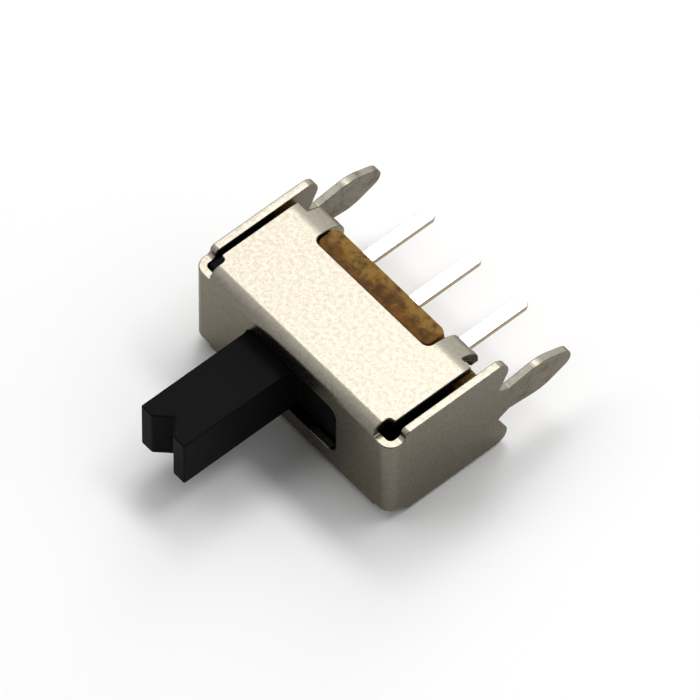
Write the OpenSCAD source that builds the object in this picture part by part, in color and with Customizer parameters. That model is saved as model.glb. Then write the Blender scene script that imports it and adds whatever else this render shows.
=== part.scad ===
// Miniature slide switch for printed boards: a folded sheet-metal can crimped round a base board,
// three flat terminals, and a moulded slider that carries a springy contact clip.
// Lengths are millimetres. X runs along the slide, -Y is the knob's side, +Y the terminals' side.
// The origin lies in the plane on which the can's lobes stand on a printed board, on the middle terminal.

/* [Can] */
// Length over the two end plates
can_l = 12.7; // [12.2:0.1:14]
// Width over the two long sides
can_w = 6; // [5.4:0.1:7]
// Depth from the front face to the tips of the end lobes
can_d = 6.68; // [6.3:0.02:8]
// Thickness of the sheet
sheet_t = 0.4; // [0.3:0.02:0.5]
// Inside radius of the folds
fold_r = 0.2; // [0.1:0.05:0.3]
// Width of the two end plates
end_w = 5.7; // [5.2:0.05:5.9]
// Slit left between a long side and an end plate
slit_w = 0.35; // [0.2:0.05:0.5]
// Diameter of the round relief at each front corner
relief_d = 1; // [0.9:0.05:1.4]
// Distance of the reliefs' middles behind the front face
relief_back = 0.5; // [0.35:0.05:0.7]
// Distance of the reliefs' middles inside the long sides' outer faces
relief_in = 0.1; // [0:0.05:0.3]

/* [Knob slot] */
// Free space between the knob and the slot, above and below it
slot_gap = 0.15; // [0.05:0.01:0.4]
// Radius of the slot's corners
slot_r = 0.5; // [0.1:0.05:0.8]
// Radius of the slot's front edge, rolled in by the punch
slot_roll = 0.2; // [0.05:0.01:0.28]

/* [Crimp ears] */
// Width of each ear that is folded over the base board
ear_w = 1.3; // [0.9:0.05:1.6]
// Outside radius of the gentle bend that leads to an ear's fold
lead_r = 2.2; // [1.8:0.1:2.6]
// Angle of the gentle bend
lead_turn = 30; // [20:1:35]
// Inside radius of an ear's fold
ear_fold_r = 0.4; // [0.3:0.05:0.5]
// Length of an ear's straight flap after the fold
flap_l = 0.35; // [0.3:0.05:0.6]
// Radius of the flap's corners
flap_r = 0.25; // [0.1:0.05:0.3]
// Free space between a flap and the base board
flap_gap = 0.15; // [0:0.01:0.2]
// Distance of the long sides' back edges below the lobes' tips
side_in = 1.45; // [1.3:0.05:1.7]
// Radius of the corners of a long side's recess
recess_r = 0.35; // [0.1:0.05:0.4]

/* [End lobes and tabs] */
// Radius of the lobes that stand on the printed board
lobe_r = 0.6; // [0.4:0.02:0.7]
// Depth of the notch between a lobe and the tab
notch_d = 0.52; // [0.4:0.02:0.7]
// Distance between the two notches of an end plate
notch_w = 2.1; // [1.9:0.05:2.4]
// Width of the tab at its neck
neck_w = 1.5; // [1.2:0.05:1.8]
// Height of the neck above the lobes' tips
neck_h = 0.08; // [0:0.02:0.4]
// Width of the tab at its widest
tab_w = 1.9; // [1.6:0.05:2.2]
// Height of the tab's widest place above the lobes' tips
tab_mid = 1.73; // [1.4:0.01:2.1]
// Length of the tab above the lobes' tips
tab_l = 3.55; // [3.2:0.05:4.4]
// Radius of the tab's tip
tip_r = 0.5; // [0.3:0.05:0.7]

/* [Base board] */
// Thickness of the base board
board_t = 1.2; // [1:0.05:1.4]
// Distance of the board's outer face below the lobes' tips
board_in = 1.03; // [0.9:0.01:1.15]
// Length of the tongue that sits in each long side's recess
tongue_l = 7.1; // [6:0.05:7.3]
// Radius of the tongues' corners
tongue_r = 0.35; // [0.3:0.05:0.5]
// Distance of a tongue's edge below the long side's outer face
tongue_low = 0.05; // [0:0.01:0.15]
// Free space between the board and the can
board_gap = 0.12; // [0.05:0.01:0.2]

/* [Terminals] */
// Distance between neighbouring terminals
pitch = 3; // [2.5:0.05:3.3]
// Width of a terminal's pin
pin_w = 0.7; // [0.5:0.02:0.8]
// Thickness of a terminal
pin_t = 0.3; // [0.2:0.02:0.4]
// Length of a pin above the lobes' tips
pin_l = 3.88; // [3:0.02:5]
// Radius of a pin's tip corners
pin_r = 0.28; // [0.1:0.01:0.3]
// Width of the contact blade inside the can
blade_w = 1.2; // [0.9:0.05:1.4]
// Length of the contact blade below the board
blade_l = 1.9; // [1.5:0.05:2.1]
// Free space round a pin in the board
pin_gap = 0.02; // [0.01:0.01:0.05]

/* [Slider] */
// Travel of the slider
travel = 2.8; // [2.4:0.05:3]
// Width of the knob along the travel
knob_w = 2.8; // [2.4:0.05:3]
// Height of the knob across the travel
knob_h = 2.8; // [2:0.05:3]
// Length of the knob in front of the can
knob_l = 5.9; // [3:0.1:8]
// Radius of the knob's long edges
knob_r = 0.1; // [0.05:0.01:0.3]
// Width of the V-groove across the knob's end
groove_w = 1.4; // [1:0.05:1.6]
// Depth of the V-groove
groove_d = 0.72; // [0.4:0.02:1]
// Free space round the slider inside the can
run_gap = 0.1; // [0.05:0.01:0.15]
// Free space between the slider and the can's ends at the ends of the travel
end_gap = 0.1; // [0.05:0.01:0.2]
// Depth of the clip's pocket, from the slider's back
pocket_d = 2.5; // [2.3:0.05:2.8]
// Height of the passage for the contact blades
passage_h = 0.9; // [0.7:0.05:1.1]

/* [Contact clip] */
// Thickness of the clip's strip
clip_t = 0.18; // [0.12:0.01:0.22]
// Width of the clip across its back
clip_h = 2; // [1.6:0.05:2.4]
// Free space between the clip's lips and a contact blade
lip_gap = 0.03; // [0.02:0.01:0.06]
// Length of the clip's flared lips
lip_l = 0.45; // [0.3:0.05:0.6]
// Flare of each lip
lip_flare = 0.28; // [0.1:0.02:0.34]
// Length of the clip's straight legs at its back
root_l = 0.45; // [0.3:0.05:0.6]
// Width of the cut that parts each leg in two fingers
finger_gap = 0.5; // [0.3:0.05:0.8]

/* [Hidden] */
$fn = 48;
// Cutting tools reach this far past what they cut
past = 0.5;

front_y = -can_d;
fold_out = fold_r + sheet_t;
side_l = can_l - 2 * (sheet_t + slit_w);
board_back = -board_in - board_t;
recess_l = tongue_l + 2 * board_gap;
slot_l = knob_w + travel + 2 * end_gap;
slot_h = knob_h + 2 * slot_gap;
in_w = can_w - 2 * sheet_t;
in_l = can_l - 2 * sheet_t;
flap_in = flap_gap - board_in;
ear_out = ear_fold_r + sheet_t;
ear_run = lead_r - ear_out;
fold_mid = [flap_in - ear_fold_r, can_w / 2 - lead_r + ear_run * cos(lead_turn)];
lead_mid = fold_mid - ear_run * [sin(lead_turn), cos(lead_turn)];

slider_x = -travel / 2;
block_l = in_l - travel - 2 * end_gap;
block_h = in_w - 2 * run_gap;
block_front = front_y + sheet_t + run_gap;
block_back = board_back - run_gap;
pocket_floor = block_back - pocket_d;
clip_l = pitch + pin_w;
pinch_z = pin_t / 2 + lip_gap + clip_t / 2;

// Point where a line from p touches a circle with centre c and radius r, on the given side
function touch(p, c, r, side) =
    let (v = p - c, turn = atan2(v[1], v[0]) + side * acos(r / norm(v)))
    c + r * [cos(turn), sin(turn)];

// Unit normal of the stretch from a to b
function normal(a, b) = [a[1] - b[1], b[0] - a[0]] / norm(b - a);

// Edge of a strip that follows a line of points, at a distance d to the left of it, with mitred corners
function beside(line, d) = [
    for (i = [0 : len(line) - 1])
        let (
            before = normal(line[max(i - 1, 0)], line[max(i, 1)]),
            after = normal(line[min(i, len(line) - 2)], line[min(i + 1, len(line) - 1)])
        )
        line[i] + d * (before + after) / (1 + before * after)
];

// Reversed list
function backwards(list) = [for (i = [len(list) - 1 : -1 : 0]) list[i]];

// Points mirrored to the other side of the first axis
function flipped(list) = [for (p = list) [p[0], -p[1]]];

// Outline whose upper edge is the given list, and whose lower edge mirrors it
function both_edges(list) = concat(list, backwards(flipped(list)));

// Extrudes a profile drawn in Y and Z along X, to both sides of the middle
module along_x(length) {
    rotate([90, 0, 90])
        linear_extrude(length, center = true)
            children();
}

// Extrudes a profile drawn in X and Z along Y, from y = low to y = high
module along_y(low, high) {
    translate([0, high, 0])
        rotate([90, 0, 0])
            linear_extrude(high - low)
                children();
}

// Rectangle with round corners, about the origin
module round_rect(w, h, r) {
    square([w - 2 * r, h], center = true);
    square([w, h - 2 * r], center = true);
    for (x = [-1, 1], y = [-1, 1])
        translate([x * (w / 2 - r), y * (h / 2 - r)])
            circle(r);
}

// Rectangle of depth d and width w that starts at the origin, with its two front corners rounded
module round_front(d, w, r) {
    translate([0, r - w / 2])
        square([d, w - 2 * r]);
    translate([r, -w / 2])
        square([d - r, w]);
    for (side = [-1, 1])
        translate([r, side * (w / 2 - r)])
            circle(r);
}

// Section of the sheet where it is folded back on both sides of the front face
module folded_section(d, w) {
    difference() {
        round_front(d, w, fold_out);
        translate([sheet_t, 0])
            round_front(d + past, w - 2 * sheet_t, fold_r);
    }
}

// Front face and long sides, up to where these begin to bend in
module front_and_sides() {
    translate([0, front_y, 0])
        along_x(side_l)
            folded_section(lead_mid[0] - front_y, can_w);
}

// Front face and the upright folds that lead to the end plates
module end_folds() {
    translate([0, front_y, 0])
        linear_extrude(can_w - 2 * fold_out, center = true)
            rotate(90)
                folded_section(fold_out + past, can_l);
}

// Outline of an end plate: two rounded lobes, and between them a leaf-shaped tab
module end_outline() {
    lobe = [-lobe_r, end_w / 2 - lobe_r];
    notch = [-notch_d, notch_w / 2];
    neck = [neck_h, neck_w / 2];
    leaf = [tab_mid, 0];
    tip = [tab_l - tip_r, 0];
    lean = acos((tab_w / 2 - tip_r) / (tip[0] - leaf[0]));
    slope = [cos(lean), sin(lean)];
    flank = [lobe[0], end_w / 2];
    plate_edge = [[front_y + fold_out, end_w / 2], flank, lobe, touch(notch, lobe, lobe_r, 1), notch];
    neck_edge = [notch, neck, touch(neck, leaf, tab_w / 2, -1)];
    taper_edge = [leaf + slope * tab_w / 2, tip + slope * tip_r];
    polygon(both_edges(plate_edge));
    polygon(concat(neck_edge, [leaf], backwards(flipped(neck_edge))));
    polygon(concat([leaf], taper_edge, [tip], backwards(flipped(taper_edge))));
    for (edge = [-1, 1])
        translate([lobe[0], edge * lobe[1]])
            circle(lobe_r);
    translate(leaf)
        circle(tab_w / 2);
    translate(tip)
        circle(tip_r);
}

// End plate on the side where x has the given sign
module end_plate(side) {
    translate([side * (can_l - sheet_t) / 2, 0, 0])
        along_x(sheet_t)
            end_outline();
}

// Sheet bent round the origin with outside radius r, from one angle off the second axis to another
module bent_sheet(r, from, to) {
    reach = 2 * r;
    intersection() {
        difference() {
            circle(r);
            circle(r - sheet_t);
        }
        polygon([[0, 0], reach * [sin(from), cos(from)], reach * [sin(to), cos(to)]]);
    }
}

// Section of a crimp ear: straight on from the long side, bent in gently, then folded over the board
module ear_section() {
    translate([front_y + fold_out, in_w / 2])
        square([lead_mid[0] - front_y - fold_out, sheet_t]);
    translate(lead_mid)
        bent_sheet(lead_r, 0, lead_turn);
    translate(fold_mid)
        bent_sheet(ear_out, lead_turn, 90);
}

// Shoulders of the upper long side, which bend in with the ears and end outside them
module shoulders() {
    intersection() {
        along_x(side_l)
            ear_section();
        translate([-side_l / 2, front_y, 0])
            cube([side_l, can_d - side_in, can_w]);
    }
}

// Outline of an ear's flap, with round corners at its end
module flap_outline() {
    translate([-ear_w / 2, fold_mid[1] + flap_r - flap_l])
        square([ear_w, flap_l - flap_r]);
    translate([flap_r - ear_w / 2, fold_mid[1] - flap_l])
        square([ear_w - 2 * flap_r, flap_l]);
    for (side = [-1, 1])
        translate([side * (ear_w / 2 - flap_r), fold_mid[1] - flap_l + flap_r])
            circle(flap_r);
}

// Crimp ear on the upper long side, in the middle of x
module ear() {
    along_x(ear_w)
        ear_section();
    along_y(flap_in, flap_in + sheet_t)
        flap_outline();
}

// Profile that rounds an edge: what a circle of radius r leaves of its corner, and the space in front of it
module edge_round(r) {
    difference() {
        translate([-past, -past])
            square(r + past);
        translate([r, r])
            circle(r);
    }
}

// The same profile for the slot's corners, drawn outwards from a corner's middle
module slot_corner_round() {
    intersection() {
        translate([slot_r, 0])
            edge_round(slot_roll);
        translate([0, -past])
            square([slot_r + slot_roll, slot_roll + past]);
    }
}

// Slot for the knob, with its front edge rolled in
module knob_slot() {
    translate([0, front_y, 0])
        rotate([-90, 0, 0]) {
            translate([0, 0, -past])
                linear_extrude(sheet_t + 2 * past)
                    round_rect(slot_l, slot_h, slot_r);
            for (side = [0, 1]) {
                mirror([0, side, 0])
                    translate([0, slot_h / 2, 0])
                        rotate([90, 0, 90])
                            linear_extrude(slot_l - 2 * slot_r, center = true)
                                edge_round(slot_roll);
                mirror([side, 0, 0])
                    translate([slot_l / 2, 0, 0])
                        rotate([90, 0, 0])
                            linear_extrude(slot_h - 2 * slot_r, center = true)
                                edge_round(slot_roll);
                for (end = [0, 1])
                    mirror([side, 0, 0])
                        mirror([0, end, 0])
                            translate([slot_l / 2 - slot_r, slot_h / 2 - slot_r, 0])
                                rotate_extrude(angle = 90)
                                    slot_corner_round();
            }
        }
}

// Round reliefs that part the three walls at a front corner: through the long side, the front and the end
module corner_relief() {
    at = [can_l / 2 - sheet_t - slit_w / 2, front_y + relief_back, can_w / 2 - relief_in];
    reach = fold_out + past;
    translate(at) {
        translate([0, 0, relief_in - fold_out])
            cylinder(d = relief_d, h = reach);
        translate([0, fold_out - relief_back, 0])
            rotate([90, 0, 0])
                cylinder(d = relief_d, h = reach);
        rotate([0, 90, 0])
            cylinder(d = relief_d, h = reach);
    }
}

// Recess in the upper long side that takes the board's tongue
module recess() {
    translate([0, board_back, in_w / 2 - past])
        linear_extrude(sheet_t + 2 * past)
            rotate(90)
                round_front(board_t + past, recess_l, recess_r);
}

// Can, stamped from one sheet and folded
module can() {
    color("#a8a296")
    difference() {
        union() {
            front_and_sides();
            end_folds();
            for (side = [-1, 1])
                end_plate(side);
            for (z = [0, 1])
                mirror([0, 0, z]) {
                    shoulders();
                    for (x = [-1, 1])
                        translate([x * (recess_l + ear_w) / 2, 0, 0])
                            ear();
                }
        }
        knob_slot();
        for (x = [0, 1], z = [0, 1])
            mirror([x, 0, 0])
                mirror([0, 0, z])
                    corner_relief();
        for (z = [0, 1])
            mirror([0, 0, z])
                recess();
    }
}

// Base board: a tongue on each long edge, ends narrow enough for the ears, a slot for each terminal
module base_board() {
    color("#7a5526")
    difference() {
        union() {
            along_y(board_back, -board_in)
                square([in_l - 2 * board_gap, 2 * (fold_mid[1] - board_gap)], center = true);
            translate([0, board_back + board_t / 2, 0])
                linear_extrude(can_w - 2 * tongue_low, center = true)
                    round_rect(tongue_l, board_t, tongue_r);
        }
        along_y(board_back - past, past - board_in)
            for (place = [-1 : 1])
                translate([place * pitch, 0])
                    square([pin_w + 2 * pin_gap, pin_t + 2 * pin_gap], center = true);
    }
}

// Terminal: a flat pin with a round tip, and inside the can a wider blade whose shoulders meet the board
module terminal(place) {
    blade_end = board_back - blade_l;
    color("#d9d7d0")
    translate([place * pitch, 0, 0])
        linear_extrude(pin_t, center = true) {
            translate([-pin_w / 2, board_back])
                square([pin_w, pin_l - pin_r - board_back]);
            translate([pin_r - pin_w / 2, 0])
                square([pin_w - 2 * pin_r, pin_l]);
            for (side = [-1, 1])
                translate([side * (pin_w / 2 - pin_r), pin_l - pin_r])
                    circle(pin_r);
            translate([0, blade_end + blade_l / 2])
                round_rect(blade_w, blade_l, pin_r);
            translate([-blade_w / 2, board_back - blade_l / 2])
                square([blade_w, blade_l / 2]);
        }
}

module terminal_left() {
    terminal(-1);
}

module terminal_middle() {
    terminal(0);
}

module terminal_right() {
    terminal(1);
}

// Slider, moulded in one: a block that runs in the can, and the knob with a V-groove across its end
module slider() {
    knob_end = front_y - knob_l;
    color("#1d1d1f")
    translate([slider_x, 0, 0])
    difference() {
        union() {
            along_y(block_front, block_back)
                square([block_l, block_h], center = true);
            along_y(knob_end, block_front + past)
                round_rect(knob_w, knob_h, knob_r);
        }
        // Groove for a fingertip
        linear_extrude(knob_h + past, center = true)
            polygon([[-groove_w / 2, knob_end], [0, knob_end + groove_d], [groove_w / 2, knob_end],
                     [groove_w / 2, knob_end - past], [-groove_w / 2, knob_end - past]]);
        // Passage for the blades and pocket for the clip
        along_y(pocket_floor, block_back + past) {
            square([block_l + past, passage_h], center = true);
            square([clip_l + 2 * run_gap, clip_h + 2 * run_gap], center = true);
        }
    }
}

// Middle line of one leg of the clip, from its back corner to the flared end of its lip
function leg_line() = [
    [pocket_floor + clip_t / 2, (clip_h - clip_t) / 2],
    [pocket_floor + root_l, (clip_h - clip_t) / 2],
    [block_back - 2 * lip_l, pinch_z],
    [block_back - lip_l, pinch_z],
    [block_back, pinch_z + lip_flare]
];

// Contact clip: a springy strip folded to a U, whose fingers hold the blades from both sides
module contact_clip() {
    line = concat(backwards(flipped(leg_line())), leg_line());
    color("#c9a86a")
    translate([slider_x, 0, 0])
    difference() {
        along_x(clip_l)
            polygon(concat(beside(line, clip_t / 2), backwards(beside(line, -clip_t / 2))));
        translate([-finger_gap / 2, pocket_floor + root_l, -clip_h])
            cube([finger_gap, pocket_d, 2 * clip_h]);
    }
}

can();
base_board();
terminal_left();
terminal_middle();
terminal_right();
slider();
contact_clip();
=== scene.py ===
"""Miniature slide switch with a folded can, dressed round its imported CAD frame."""
import math

import bpy
from mathutils import Matrix, Vector


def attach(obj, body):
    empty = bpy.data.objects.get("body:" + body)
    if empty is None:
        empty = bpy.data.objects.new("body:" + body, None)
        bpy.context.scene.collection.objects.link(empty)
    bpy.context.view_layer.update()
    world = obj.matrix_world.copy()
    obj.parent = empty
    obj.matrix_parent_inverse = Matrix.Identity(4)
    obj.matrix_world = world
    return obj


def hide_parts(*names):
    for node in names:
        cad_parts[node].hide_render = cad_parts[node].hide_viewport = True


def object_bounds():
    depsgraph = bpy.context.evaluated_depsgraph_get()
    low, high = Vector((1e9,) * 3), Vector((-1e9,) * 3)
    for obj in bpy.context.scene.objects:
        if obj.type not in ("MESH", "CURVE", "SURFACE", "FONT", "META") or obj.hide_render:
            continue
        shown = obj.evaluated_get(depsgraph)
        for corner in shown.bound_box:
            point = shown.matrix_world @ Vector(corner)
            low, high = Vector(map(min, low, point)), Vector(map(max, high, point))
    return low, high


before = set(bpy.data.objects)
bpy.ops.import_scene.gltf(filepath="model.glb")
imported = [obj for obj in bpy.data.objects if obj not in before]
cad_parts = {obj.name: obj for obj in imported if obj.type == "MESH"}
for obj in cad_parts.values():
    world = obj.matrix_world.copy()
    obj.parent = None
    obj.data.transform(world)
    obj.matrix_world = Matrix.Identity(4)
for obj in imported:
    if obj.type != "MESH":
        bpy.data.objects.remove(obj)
cad_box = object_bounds()

# Can: one nickel-plated steel sheet, stamped, folded round the works and crimped over the board. It is
# modelled as it is made: a thin shell is folded and bent, then given its thickness and punched.
# Pieces are modelled in millimetres and brought to metres when they are finished.
MM = 0.001
SHEET, FOLD_R = 0.4, 0.6
HALF_L, HALF_W, FRONT = 6.35, 3.0, -6.68
# The long sides end at SIDE_X and the end plates at END_Z, with a slit between them. The open notch where
# the three walls meet is a relief for the folds.
SIDE_X, END_Z, FOLD_TOP = 5.6, 2.85, 2.4
NOTCH_X, NOTCH_Y = 5.28, -5.72
# The end plates reach to BLANK_Y before they are punched. The long sides lean in from LEAD_Y, turning
# about LEAD_Z, and then bend sharply about EAR_Y and EAR_Z to the ears, whose flaps lie on the board.
BLANK_Y = 3.6
LEAD_Y, LEAD_Z, LEAD_TURN = -1.98, 0.8, math.radians(30)
EAR_Y, EAR_Z, FLAP = -1.28, 2.0124, 0.35


def box(name, low, high):
    """Block between two corners, active and in object mode."""
    low, high = Vector(low), Vector(high)
    bpy.ops.object.select_all(action="DESELECT")
    bpy.ops.mesh.primitive_cube_add(size=1, location=(low + high) / 2, scale=high - low)
    bpy.ops.object.transform_apply(location=True, rotation=False, scale=True)
    bpy.context.object.name = name
    return bpy.context.object


def only(piece):
    """Makes a piece the only one selected, in object mode."""
    if bpy.context.mode != "OBJECT":
        bpy.ops.object.mode_set(mode="OBJECT")
    bpy.ops.object.select_all(action="DESELECT")
    piece.select_set(True)
    bpy.context.view_layer.objects.active = piece


def pick(piece, kind, test):
    """Selects the edges or faces whose middle passes a test, and leaves the piece in edit mode."""
    only(piece)
    bpy.ops.object.mode_set(mode="EDIT")
    bpy.ops.mesh.select_mode(type=kind)
    bpy.ops.mesh.select_all(action="DESELECT")
    bpy.ops.object.mode_set(mode="OBJECT")
    mesh = piece.data
    for part in mesh.edges if kind == "EDGE" else mesh.polygons:
        corners = [mesh.vertices[i].co for i in part.vertices]
        part.select = test(sum(corners, Vector()) / len(corners))
    bpy.ops.object.mode_set(mode="EDIT")


def near(a, b):
    """Whether two places along an axis are the same."""
    return abs(a - b) < 0.001


def apply(piece, kind, **settings):
    """Adds a modifier to a piece and applies it."""
    only(piece)
    modifier = piece.modifiers.new(kind.lower(), kind)
    for name, value in settings.items():
        setattr(modifier, name, value)
    bpy.ops.object.modifier_apply(modifier=modifier.name)


can = box("folded_can", (-HALF_L, FRONT, -HALF_W), (HALF_L, LEAD_Y, HALF_W))
pick(can, "FACE", lambda c: near(c.y, LEAD_Y))
bpy.ops.mesh.delete(type="ONLY_FACE")
pick(can, "EDGE", lambda c: near(c.y, FRONT))
bpy.ops.mesh.bevel(offset=FOLD_R, segments=8, affect="EDGES")
for axis, level in ((0, SIDE_X), (0, -SIDE_X), (0, NOTCH_X), (0, -NOTCH_X),
                    (1, FRONT + FOLD_R), (1, NOTCH_Y),
                    (2, END_Z), (2, -END_Z), (2, FOLD_TOP), (2, -FOLD_TOP)):
    across = Vector([i == axis for i in range(3)])
    bpy.ops.mesh.select_all(action="SELECT")
    bpy.ops.mesh.bisect(plane_co=across * level, plane_no=across)
pick(can, "FACE", lambda c: abs(c.z) > FOLD_TOP and (
    (abs(c.x) > NOTCH_X and c.y < NOTCH_Y) or (abs(c.x) > SIDE_X and abs(c.z) > END_Z)))
bpy.ops.mesh.delete(type="FACE")
pick(can, "EDGE", lambda c: near(c.y, LEAD_Y) and near(abs(c.x), HALF_L))
bpy.ops.mesh.extrude_region_move(TRANSFORM_OT_translate={"value": (0, BLANK_Y - LEAD_Y, 0)})
for side in (1, -1):
    pick(can, "EDGE", lambda c: near(c.y, LEAD_Y) and near(c.z, side * HALF_W))
    bpy.ops.mesh.spin(steps=6, angle=side * LEAD_TURN,
                      center=(0, LEAD_Y, side * LEAD_Z), axis=(1, 0, 0))
    bpy.ops.mesh.spin(steps=8, angle=side * (math.pi / 2 - LEAD_TURN),
                      center=(0, EAR_Y, side * EAR_Z), axis=(1, 0, 0))
    bpy.ops.mesh.extrude_region_move(TRANSFORM_OT_translate={"value": (0, 0, -side * FLAP)})
bpy.ops.mesh.select_all(action="SELECT")
bpy.ops.mesh.remove_doubles(threshold=0.0005)
bpy.ops.mesh.normals_make_consistent(inside=False)
bpy.ops.object.mode_set(mode="OBJECT")
apply(can, "SOLIDIFY", thickness=SHEET, offset=-1, use_even_offset=True)
side_z, end_x = HALF_W - SHEET / 2, HALF_L - SHEET / 2
for x, z, radius in ((NOTCH_X, side_z, 0.2), (SIDE_X, side_z, 0.1),
                     (end_x, FOLD_TOP, 0.2), (end_x, END_Z, 0.24)):
    pick(can, "EDGE", lambda c: near(abs(c.x), x) and near(c.y, NOTCH_Y) and near(abs(c.z), z))
    bpy.ops.mesh.bevel(offset=radius, segments=5, affect="EDGES")
only(can)

# Punched openings of the can: the knob's slot, the recesses for the board, the gaps beside the ears, and
# the lobes and leaf tabs of the ends. The slot's front edge is rolled, least along its sill.
SLOT_X, SLOT_TOP, SLOT_SILL, SLOT_R, SLOT_ROLL = 2.9, 1.55, -1.6, 0.5, 0.2
RECESS_X, RECESS_Y, RECESS_R = 3.67, -2.23, 0.35
EAR_X, SHOULDER_Y, EAR_R = 4.97, -1.45, 0.25
# Upper half of an end plate's rear outline, each corner as y, z and radius: lobe, step, and the tab's
# root and shoulder. The cutter that trims to it reaches past the sheet on all other sides.
END_CORNERS = [(-1, 3.4, 0), (-1, 2.86, 0), (0.3623, 2.85, 0.6), (-0.52, 1.05, 0.08), (0.08, 0.75, 0.1),
               (1.96, 0.995, 2.0)]
TAB_TIP = (4.351, 0, 0.5)
PAST_Y, PAST_Z = 4.8, 3.4


def rounded(corners, step=0.09):
    """Closed outline through corners, each given by its place and its radius."""
    line = []
    for i, (u, v, radius) in enumerate(corners):
        here = Vector((u, v))
        before = (Vector(corners[i - 1][:2]) - here).normalized()
        after = (Vector(corners[(i + 1) % len(corners)][:2]) - here).normalized()
        if not radius:
            line.append(here)
            continue
        half = before.angle(after) / 2
        middle = here + (before + after).normalized() * radius / math.sin(half)
        spoke = here + before * radius / math.tan(half) - middle
        turn = math.copysign(math.pi - 2 * half, after.cross(before))
        count = math.ceil(abs(turn) * radius / step) + 1
        line += [middle + Matrix.Rotation(turn * k / count, 2) @ spoke for k in range(count + 1)]
    return line


def prism(name, outline, axis, low, high):
    """Block with a flat outline, drawn across an axis and extruded along it."""
    others = {"X": (1, 2), "Y": (2, 0), "Z": (0, 1)}[axis]
    along = "XYZ".index(axis)
    bpy.ops.object.select_all(action="DESELECT")
    bpy.ops.mesh.primitive_circle_add(vertices=len(outline), fill_type="NGON")
    piece = bpy.context.object
    piece.name = name
    for vertex, point in zip(piece.data.vertices, outline):
        vertex.co[along] = low
        vertex.co[others[0]], vertex.co[others[1]] = point
    bpy.ops.object.mode_set(mode="EDIT")
    bpy.ops.mesh.select_all(action="SELECT")
    bpy.ops.mesh.extrude_region_move(
        TRANSFORM_OT_translate={"value": [(high - low) * (i == along) for i in range(3)]})
    bpy.ops.mesh.select_all(action="SELECT")
    bpy.ops.mesh.normals_make_consistent(inside=False)
    bpy.ops.object.mode_set(mode="OBJECT")
    return piece


def cut(piece, cutter, mirror="", operation="DIFFERENCE"):
    """Takes a cutter away from a piece, or joins the two; the named axes mirror the cutter first."""
    if mirror:
        apply(cutter, "MIRROR", use_axis=[axis in mirror for axis in "XYZ"], use_mirror_merge=False)
    apply(piece, "BOOLEAN", operation=operation, object=cutter, solver="EXACT", use_self=True)
    bpy.data.objects.remove(cutter)


slot = rounded([(SLOT_TOP, SLOT_X, SLOT_R), (SLOT_TOP, -SLOT_X, SLOT_R),
                (SLOT_SILL, -SLOT_X, SLOT_R), (SLOT_SILL, SLOT_X, SLOT_R)])
cut(can, prism("slot", slot, "Y", FRONT - 1, FRONT + 1))
recess = rounded([(-RECESS_X, RECESS_Y, RECESS_R), (RECESS_X, RECESS_Y, RECESS_R),
                  (RECESS_X, 0.5, 0), (-RECESS_X, 0.5, 0)])
cut(can, prism("recess", recess, "Z", 1, 4), "Z")
cut(can, box("gap", (EAR_X, SHOULDER_Y, 1), (SIDE_X + 0.15, 0.5, 4)), "XZ")
lower = [(y, -z, r) for y, z, r in reversed(END_CORNERS)]
outside = rounded([(PAST_Y, PAST_Z, 0)] + END_CORNERS + [TAB_TIP] + lower + [(PAST_Y, -PAST_Z, 0)])
cut(can, prism("outside", outside, "X", SIDE_X + 0.2, HALF_L + 1), "X")
pick(can, "FACE", lambda c: True)
bpy.ops.mesh.remove_doubles(threshold=0.01)
bpy.ops.mesh.dissolve_limited(angle_limit=math.radians(0.5))
pick(can, "EDGE", lambda c: near(abs(c.z), EAR_Z - FLAP)
     and min(abs(abs(c.x) - RECESS_X), abs(abs(c.x) - EAR_X)) < 0.01)
bpy.ops.mesh.bevel(offset=EAR_R, segments=6, affect="EDGES")
only(can)
weights = can.data.attributes.new("bevel_weight_edge", "FLOAT", "EDGE")
for part in can.data.edges:
    c = sum((can.data.vertices[i].co for i in part.vertices), Vector()) / 2
    if near(c.y, FRONT) and abs(c.x) < SLOT_X + 0.01 and SLOT_SILL - 0.01 < c.z < SLOT_TOP + 0.01:
        weights.data[part.index].value = min(1.0, max(0.25, (c.z - SLOT_SILL) / SLOT_R))
apply(can, "BEVEL", limit_method="WEIGHT", width=SLOT_ROLL, segments=5)

CREASE = math.radians(40)


def finish(piece, name, body, node, material, edge):
    """Eases a piece's sharp edges, brings it to metres, and lets it stand for a CAD node."""
    pick(piece, "EDGE", lambda c: False)
    bpy.ops.mesh.edges_select_sharp(sharpness=CREASE)
    bpy.ops.mesh.bevel(offset=edge, segments=3, affect="EDGES", miter_outer="ARC", clamp_overlap=False)
    only(piece)
    bpy.ops.object.shade_smooth_by_angle(angle=CREASE)
    apply(piece, "WEIGHTED_NORMAL", keep_sharp=True)
    piece.data.transform(Matrix.Scale(MM, 4))
    piece.name = name
    piece.data.materials.clear()
    piece.data.materials.append(material)
    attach(piece, body)
    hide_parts(node)


def linear(code):
    """Linear colour of an sRGB hex value."""
    parts = [int(code[i:i + 2], 16) / 255 for i in (1, 3, 5)]
    return [p / 12.92 if p <= 0.04045 else ((p + 0.055) / 1.055) ** 2.4 for p in parts] + [1.0]


def add_node(tree, kind, inputs=None, **settings):
    """Adds a node with its settings; an input is a value or the socket that feeds it."""
    node = tree.nodes.new(kind)
    for name, value in settings.items():
        setattr(node, name, value)
    for socket, value in (inputs or {}).items():
        if isinstance(value, bpy.types.NodeSocket):
            tree.links.new(value, node.inputs[socket])
        else:
            node.inputs[socket].default_value = value
    return node


def new_material(name):
    """Empty material, and its node tree with a Principled shader linked to its output."""
    material = bpy.data.materials.new(name)
    material.use_nodes = True
    tree = material.node_tree
    tree.nodes.clear()
    shader = add_node(tree, "ShaderNodeBsdfPrincipled")
    add_node(tree, "ShaderNodeOutputMaterial", {"Surface": shader.outputs[0]})
    return material, tree, shader


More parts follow.
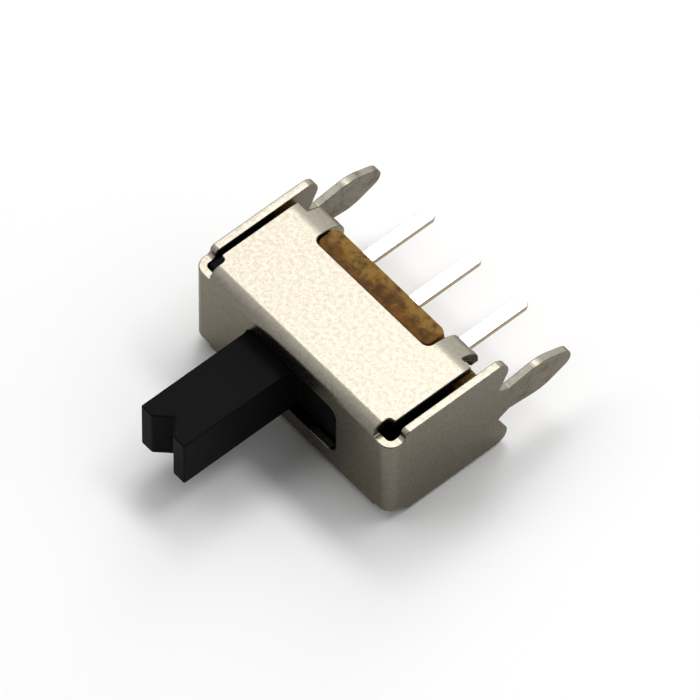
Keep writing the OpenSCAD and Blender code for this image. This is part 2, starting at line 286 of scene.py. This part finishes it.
def set_stops(ramp, *stops):
    """Gives a colour ramp its stops, each a place and an sRGB hex value."""
    band = ramp.color_ramp
    while len(band.elements) < len(stops):
        band.elements.new(1.0)
    for element, (place, code) in zip(band.elements, stops):
        element.position = place
        element.color = linear(code)


def per_mm(size):
    """Scale of a pattern whose features are size millimetres wide."""
    return 1 / (size * MM)


# Nickel-plated steel, barrel-plated dull: warm grey, a soft gloss, cloudy mottling and fine tan specks.
# The tabs, which are left rough for solder, are patchier and stained. The specks are really finer than
# this; they are drawn just wide enough to show.
nickel, tree, shader = new_material("nickel_plated_steel")
place = add_node(tree, "ShaderNodeTexCoord").outputs["Object"]
cloud = add_node(tree, "ShaderNodeTexNoise", {
    "Vector": place, "Scale": per_mm(0.2), "Detail": 5.0, "Roughness": 0.65})
plating = add_node(tree, "ShaderNodeValToRGB", {"Fac": cloud.outputs["Fac"]})
set_stops(plating, (0.3, "#787269"), (0.5, "#7a766c"), (0.7, "#7d7970"))
speck = add_node(tree, "ShaderNodeTexNoise", {"Vector": place, "Scale": per_mm(0.055), "Detail": 2.0})
speck_mask = add_node(tree, "ShaderNodeMapRange", {
    "Value": speck.outputs["Fac"], "From Min": 0.57, "From Max": 0.7, "To Max": 0.6})
speckled = add_node(tree, "ShaderNodeMix", {
    "Factor": speck_mask.outputs["Result"], 6: plating.outputs["Color"], 7: linear("#6b5640")},
    data_type="RGBA")
reach = add_node(tree, "ShaderNodeSeparateXYZ", {"Vector": place})
on_tab = add_node(tree, "ShaderNodeMapRange", {
    "Value": reach.outputs["Y"], "From Min": -0.5 * MM, "From Max": 0.8 * MM})
stain = add_node(tree, "ShaderNodeTexNoise", {
    "Vector": place, "Scale": per_mm(0.7), "Detail": 6.0, "Roughness": 0.7})
stain_mask = add_node(tree, "ShaderNodeMapRange", {
    "Value": stain.outputs["Fac"], "From Min": 0.5, "From Max": 0.66, "To Max": 0.8})
stained = add_node(tree, "ShaderNodeMath", {
    0: stain_mask.outputs["Result"], 1: on_tab.outputs["Result"]}, operation="MULTIPLY")
finished = add_node(tree, "ShaderNodeMix", {
    "Factor": stained.outputs["Value"], 6: speckled.outputs[2], 7: linear("#5a5042")}, data_type="RGBA")
tree.links.new(finished.outputs[2], shader.inputs["Base Color"])
gloss = add_node(tree, "ShaderNodeMapRange", {
    "Value": cloud.outputs["Fac"], "From Min": 0.3, "From Max": 0.7, "To Min": 0.3, "To Max": 0.24})
tree.links.new(gloss.outputs["Result"], shader.inputs["Roughness"])
grain = add_node(tree, "ShaderNodeTexNoise", {"Vector": place, "Scale": per_mm(0.12), "Detail": 3.0})
relief = add_node(tree, "ShaderNodeBump", {
    "Height": grain.outputs["Fac"], "Strength": 0.2, "Distance": 0.01 * MM})
tree.links.new(relief.outputs["Normal"], shader.inputs["Normal"])
shader.inputs["Metallic"].default_value = 1.0
shader.inputs["Specular Tint"].default_value = linear("#e1ddd4")
finish(can, "folded_can", "housing", "can", nickel, 0.05)

# Base board: a plate punched from brown paper-phenolic laminate, held in the can's recesses by the ears.
# Its cut edges show the laminate's darker, resin-rich patches.
board_finish, tree, shader = new_material("paper_phenolic")
place = add_node(tree, "ShaderNodeTexCoord").outputs["Object"]
layer = add_node(tree, "ShaderNodeSeparateXYZ", {"Vector": place}).outputs["Y"]
ragged = add_node(tree, "ShaderNodeTexNoise", {
    "Vector": place, "Scale": per_mm(0.8), "Detail": 5.0, "Roughness": 0.65})
torn = add_node(tree, "ShaderNodeMapRange", {
    "Value": ragged.outputs["Fac"], "From Min": 0.3, "From Max": 0.7,
    "To Min": -0.5 * MM, "To Max": 0.5 * MM})
edge = add_node(tree, "ShaderNodeMath", {0: layer, 1: torn.outputs["Result"]}, operation="ADD")
band = add_node(tree, "ShaderNodeMapRange", {
    "Value": edge.outputs["Value"], "From Min": -1.85 * MM, "From Max": -1.45 * MM})
laminate = add_node(tree, "ShaderNodeMix", {
    "Factor": band.outputs["Result"], 6: linear("#6a4413"), 7: linear("#89672e")}, data_type="RGBA")
moved = add_node(tree, "ShaderNodeVectorMath", {0: place, 1: (3.1 * MM, 0, 1.1 * MM)})
patches = add_node(tree, "ShaderNodeTexNoise", {
    "Vector": moved.outputs["Vector"], "Scale": per_mm(0.55), "Detail": 6.0, "Roughness": 0.7})
stain = add_node(tree, "ShaderNodeMapRange", {
    "Value": patches.outputs["Fac"], "From Min": 0.46, "From Max": 0.62, "To Max": 0.85})
resin = add_node(tree, "ShaderNodeMix", {
    "Factor": stain.outputs["Result"], 6: laminate.outputs[2], 7: linear("#3d2c13")}, data_type="RGBA")
tree.links.new(resin.outputs[2], shader.inputs["Base Color"])
fibre = add_node(tree, "ShaderNodeTexNoise", {"Vector": place, "Scale": per_mm(0.1), "Detail": 3.0})
relief = add_node(tree, "ShaderNodeBump", {
    "Height": fibre.outputs["Fac"], "Strength": 0.5, "Distance": 0.02 * MM})
tree.links.new(relief.outputs["Normal"], shader.inputs["Normal"])
shader.inputs["Roughness"].default_value = 0.55
shader.inputs["Specular IOR Level"].default_value = 0.1
BOARD_X, BOARD_Z, BOARD_FRONT, BOARD_BACK = 5.83, 1.8924, -2.23, -1.03
TONGUE_X, TONGUE_Z = 3.55, 2.95
PITCH, HOLE_X, HOLE_Z = 3, 0.37, 0.17
upper = [(BOARD_Z, BOARD_X), (BOARD_Z, TONGUE_X), (TONGUE_Z, TONGUE_X),
         (TONGUE_Z, -TONGUE_X), (BOARD_Z, -TONGUE_X), (BOARD_Z, -BOARD_X)]
board = prism("phenolic_board", upper + [(-z, -x) for z, x in upper], "Y", BOARD_FRONT, BOARD_BACK)
pick(board, "EDGE", lambda c: near(abs(c.x), TONGUE_X) and BOARD_Z < abs(c.z) < TONGUE_Z
     and (near(c.y, BOARD_FRONT) or near(c.y, BOARD_BACK)))
bpy.ops.mesh.bevel(offset=RECESS_R, segments=5, affect="EDGES")
only(board)
for x in (-PITCH, 0, PITCH):
    cut(board, box("hole", (x - HOLE_X, -3, -HOLE_Z), (x + HOLE_X, 0, HOLE_Z)))
finish(board, "phenolic_board", "housing", "base_board", board_finish, 0.06)

# Terminals: three flat pins with round tips, stamped from tinned brass strip and pressed through the
# board; inside, each widens to a blade. The broad faces are bright tin; the sheared edges show the brass.
PIN_X, PIN_Z, PIN_TIP, PIN_R = 0.35, 0.15, 3.88, 0.28
BLADE_X, BLADE_END = 0.6, -4.13
tin, tree, shader = new_material("bright_tin")
place = add_node(tree, "ShaderNodeTexCoord").outputs["Object"]
flow = add_node(tree, "ShaderNodeTexNoise", {"Vector": place, "Scale": per_mm(0.5), "Detail": 3.0})
tinning = add_node(tree, "ShaderNodeValToRGB", {"Fac": flow.outputs["Fac"]})
set_stops(tinning, (0.3, "#cfccc5"), (0.7, "#e6e4df"))
facing = add_node(tree, "ShaderNodeTexCoord").outputs["Normal"]
sheared = add_node(tree, "ShaderNodeSeparateXYZ", {"Vector": facing})
flat = add_node(tree, "ShaderNodeMath", {0: sheared.outputs["Z"]}, operation="ABSOLUTE")
brass = add_node(tree, "ShaderNodeMapRange", {
    "Value": flat.outputs["Value"], "From Min": 0.3, "From Max": 0.7, "To Min": 0.8, "To Max": 0.0})
pin_coat = add_node(tree, "ShaderNodeMix", {
    "Factor": brass.outputs["Result"], 6: tinning.outputs["Color"], 7: linear("#8a6f45")},
    data_type="RGBA")
tree.links.new(pin_coat.outputs[2], shader.inputs["Base Color"])
shader.inputs["Metallic"].default_value = 1.0
shader.inputs["Roughness"].default_value = 0.24
pin = box("pin", (-BLADE_X, BLADE_END, -PIN_Z), (BLADE_X, BOARD_FRONT, PIN_Z))
for x in (-PIN_X, PIN_X):
    pick(pin, "FACE", lambda c: True)
    bpy.ops.mesh.bisect(plane_co=(x, 0, 0), plane_no=(1, 0, 0))
pick(pin, "FACE", lambda c: near(c.y, BOARD_FRONT) and near(c.x, 0))
bpy.ops.mesh.extrude_region_move(TRANSFORM_OT_translate={"value": (0, PIN_TIP - BOARD_FRONT, 0)})
pick(pin, "EDGE", lambda c: near(c.z, 0)
     and (near(c.y, PIN_TIP) or (near(c.y, BLADE_END) and near(abs(c.x), BLADE_X))))
bpy.ops.mesh.bevel(offset=PIN_R, segments=8, affect="EDGES")
only(pin)
for name, x in (("left", -PITCH), ("middle", 0), ("right", PITCH)):
    piece = pin.copy()
    piece.data = pin.data.copy()
    bpy.context.scene.collection.objects.link(piece)
    piece.data.transform(Matrix.Translation((x, 0, 0)))
    finish(piece, f"pin_{name}", "housing", f"terminal_{name}", tin, 0.05)
bpy.data.objects.remove(pin)

# Contact clip: a spring-bronze strip bent to a U, which the slider carries over the blades. It is hidden
# in the can, so its CAD mesh is merged, eased and kept.
bronze, tree, shader = new_material("spring_bronze")
place = add_node(tree, "ShaderNodeTexCoord").outputs["Object"]
rolled = add_node(tree, "ShaderNodeTexNoise", {"Vector": place, "Scale": per_mm(0.4), "Detail": 3.0})
strip = add_node(tree, "ShaderNodeValToRGB", {"Fac": rolled.outputs["Fac"]})
set_stops(strip, (0.3, "#b8925a"), (0.7, "#d0ac74"))
tree.links.new(strip.outputs["Color"], shader.inputs["Base Color"])
shader.inputs["Metallic"].default_value = 1.0
shader.inputs["Roughness"].default_value = 0.3
clip = bpy.data.objects.new("bronze_clip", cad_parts["contact_clip"].data.copy())
bpy.context.scene.collection.objects.link(clip)
clip.data.transform(Matrix.Scale(1 / MM, 4))
pick(clip, "FACE", lambda c: True)
bpy.ops.mesh.remove_doubles(threshold=0.0005)
bpy.ops.mesh.dissolve_limited(angle_limit=math.radians(0.5))
only(clip)
finish(clip, "bronze_clip", "slider", "contact_clip", bronze, 0.02)

# Slider: moulded in one from black nylon: a block that runs in the can, and the knob with a V-groove
# across its end for a fingertip. The block is open behind: a passage for the blades, a pocket for the clip.
nylon, tree, shader = new_material("black_nylon")
place = add_node(tree, "ShaderNodeTexCoord").outputs["Object"]
skin = add_node(tree, "ShaderNodeTexNoise", {
    "Vector": place, "Scale": per_mm(0.14), "Detail": 3.0, "Roughness": 0.6})
black = add_node(tree, "ShaderNodeValToRGB", {"Fac": skin.outputs["Fac"]})
set_stops(black, (0.3, "#090b0a"), (0.7, "#101211"))
tree.links.new(black.outputs["Color"], shader.inputs["Base Color"])
relief = add_node(tree, "ShaderNodeBump", {
    "Height": skin.outputs["Fac"], "Strength": 0.4, "Distance": 0.01 * MM})
tree.links.new(relief.outputs["Normal"], shader.inputs["Normal"])
shader.inputs["Roughness"].default_value = 0.55
shader.inputs["Specular IOR Level"].default_value = 0.04
BLOCK_LOW, BLOCK_HIGH = (-5.85, -6.18, -2.5), (3.05, -2.33, 2.5)
KNOB_LEFT, KNOB_RIGHT, KNOB_END, KNOB_Z = -2.8, 0, -12.58, 1.4
GROOVE_HALF, GROOVE_DEPTH = 0.7, 0.72
INNER_FACE, BLADE_ROOM = -4.83, 0.45
POCKET_LEFT, POCKET_RIGHT, POCKET_Z = -3.35, 0.55, 1.1
slider = box("knob_and_block", BLOCK_LOW, BLOCK_HIGH)
cut(slider, box("knob", (KNOB_LEFT, KNOB_END, -KNOB_Z), (KNOB_RIGHT, -5.7, KNOB_Z)), operation="UNION")
middle = (KNOB_LEFT + KNOB_RIGHT) / 2
groove = [(middle - GROOVE_HALF, KNOB_END), (middle - GROOVE_HALF, KNOB_END - 0.42),
          (middle + GROOVE_HALF, KNOB_END - 0.42), (middle + GROOVE_HALF, KNOB_END),
          (middle, KNOB_END + GROOVE_DEPTH)]
cut(slider, prism("groove", groove, "Z", -2, 2))
cut(slider, box("passage", (-7, INNER_FACE, -BLADE_ROOM), (4, -2, BLADE_ROOM)))
cut(slider, box("pocket", (POCKET_LEFT, INNER_FACE, -POCKET_Z), (POCKET_RIGHT, -2, POCKET_Z)))
finish(slider, "knob_and_block", "slider", "slider", nylon, 0.08)

# Table: a plain white card under the long side on which the switch lies. It belongs to the stage and not
# to the part.
bpy.ops.object.select_all(action="DESELECT")
bpy.ops.mesh.primitive_circle_add(
    vertices=96, radius=2.0, fill_type="NGON", location=(0, 0, cad_box[0].z))
table = bpy.context.object
table.name = "white_table"
white, tree, shader = new_material("white_card")
shader.inputs["Base Color"].default_value = linear("#fafafa")
shader.inputs["Roughness"].default_value = 0.9
shader.inputs["Specular IOR Level"].default_value = 0.0
table.data.materials.append(white)

# Light: a white tent as used for small goods. A long soft box stands over it, behind the switch, and the
# tent's walls glow: brightest above on the left, where the top of the can mirrors them towards the camera,
# a little on the right behind the switch, and faintly all round, low down.
MIRRORED, REAR_WALL, LAMP_AWAY = (-0.42, 0.37, 0.83), (0.55, 0.68, 0.48), 0.5
soft_box = bpy.data.objects.new("soft_box", bpy.data.lights.new("soft_box", "AREA"))
bpy.context.scene.collection.objects.link(soft_box)
soft_box.data.shape = "RECTANGLE"
soft_box.data.size, soft_box.data.size_y = 0.45, 0.165
soft_box.data.energy = 1.76
towards = Vector((-0.08, 0.43, 0.9)).normalized()
length = (Vector(MIRRORED) - towards).cross(towards).normalized()
soft_box.location = towards * LAMP_AWAY
soft_box.rotation_euler = Matrix((towards.cross(length), length, towards)).transposed().to_euler()
world = bpy.data.worlds.new("tent_walls")
bpy.context.scene.world = world
world.use_nodes = True
walls = world.node_tree
facing = add_node(walls, "ShaderNodeTexCoord").outputs["Generated"]
parts = add_node(walls, "ShaderNodeSeparateXYZ", {"Vector": facing})
inner = add_node(walls, "ShaderNodeMapRange", {
    "Value": parts.outputs["X"], "From Min": -0.42, "From Max": -0.2, "To Min": 1.0, "To Max": 0.01})
outer = add_node(walls, "ShaderNodeMapRange", {
    "Value": parts.outputs["X"], "From Min": -0.75, "From Max": -0.5, "To Min": 0.2, "To Max": 1.0})
wall = add_node(walls, "ShaderNodeMath", {
    0: inner.outputs["Result"], 1: outer.outputs["Result"]}, operation="MULTIPLY")
from_box = add_node(walls, "ShaderNodeVectorMath", {0: facing, 1: MIRRORED}, operation="DOT_PRODUCT")
fading = add_node(walls, "ShaderNodeMapRange", {
    "Value": from_box.outputs["Value"], "From Min": -0.4, "From Max": 0.9, "To Min": 0.6, "To Max": 2.4})
behind = add_node(walls, "ShaderNodeVectorMath", {0: facing, 1: REAR_WALL}, operation="DOT_PRODUCT")
rear = add_node(walls, "ShaderNodeMapRange", {
    "Value": behind.outputs["Value"], "From Min": 0.3, "From Max": 0.9, "To Max": 0.75})
low = add_node(walls, "ShaderNodeMapRange", {
    "Value": parts.outputs["Z"], "From Min": 0.0, "From Max": 0.45, "To Min": 0.25, "To Max": 0.0})
others = add_node(walls, "ShaderNodeMath", {
    0: rear.outputs["Result"], 1: low.outputs["Result"]}, operation="ADD")
glow = add_node(walls, "ShaderNodeMath", {
    0: wall.outputs["Value"], 1: fading.outputs["Result"], 2: others.outputs["Value"]},
    operation="MULTIPLY_ADD")
walls.links.new(glow.outputs["Value"], walls.nodes["Background"].inputs["Strength"])
walls.nodes["Background"].inputs["Color"].default_value = linear("#ffffff")

# Camera: a long lens from above the knob's side, at the photograph's angle. Scale and origin are measured
# in the photograph, which is 700 pixels square.
IMAGE = 700
azimuth, elevation, roll = math.radians(48.73), math.radians(55.71), math.radians(0.53)
distance, pixels_per_mm = 0.6, 23.56
origin_pixel = (409.61, 305.41)
back = Vector((math.sin(azimuth) * math.cos(elevation), -math.cos(azimuth) * math.cos(elevation),
               math.sin(elevation)))
level = Vector((math.cos(azimuth), math.sin(azimuth), 0))
rise = back.cross(level)
right = level * math.cos(roll) + rise * math.sin(roll)
up = rise * math.cos(roll) - level * math.sin(roll)
camera = bpy.data.objects.new("camera", bpy.data.cameras.new("camera"))
bpy.context.scene.collection.objects.link(camera)
camera.data.sensor_width = 36
camera.data.lens = pixels_per_mm / MM * distance * camera.data.sensor_width / IMAGE
camera.data.clip_start, camera.data.clip_end = 0.01, 10
shift = right * (IMAGE / 2 - origin_pixel[0]) + up * (origin_pixel[1] - IMAGE / 2)
camera.location = back * distance + shift * MM / pixels_per_mm
camera.rotation_euler = Matrix((right, up, back)).transposed().to_euler()
bpy.context.scene.camera = camera
bpy.context.scene.view_settings.view_transform = "Standard"
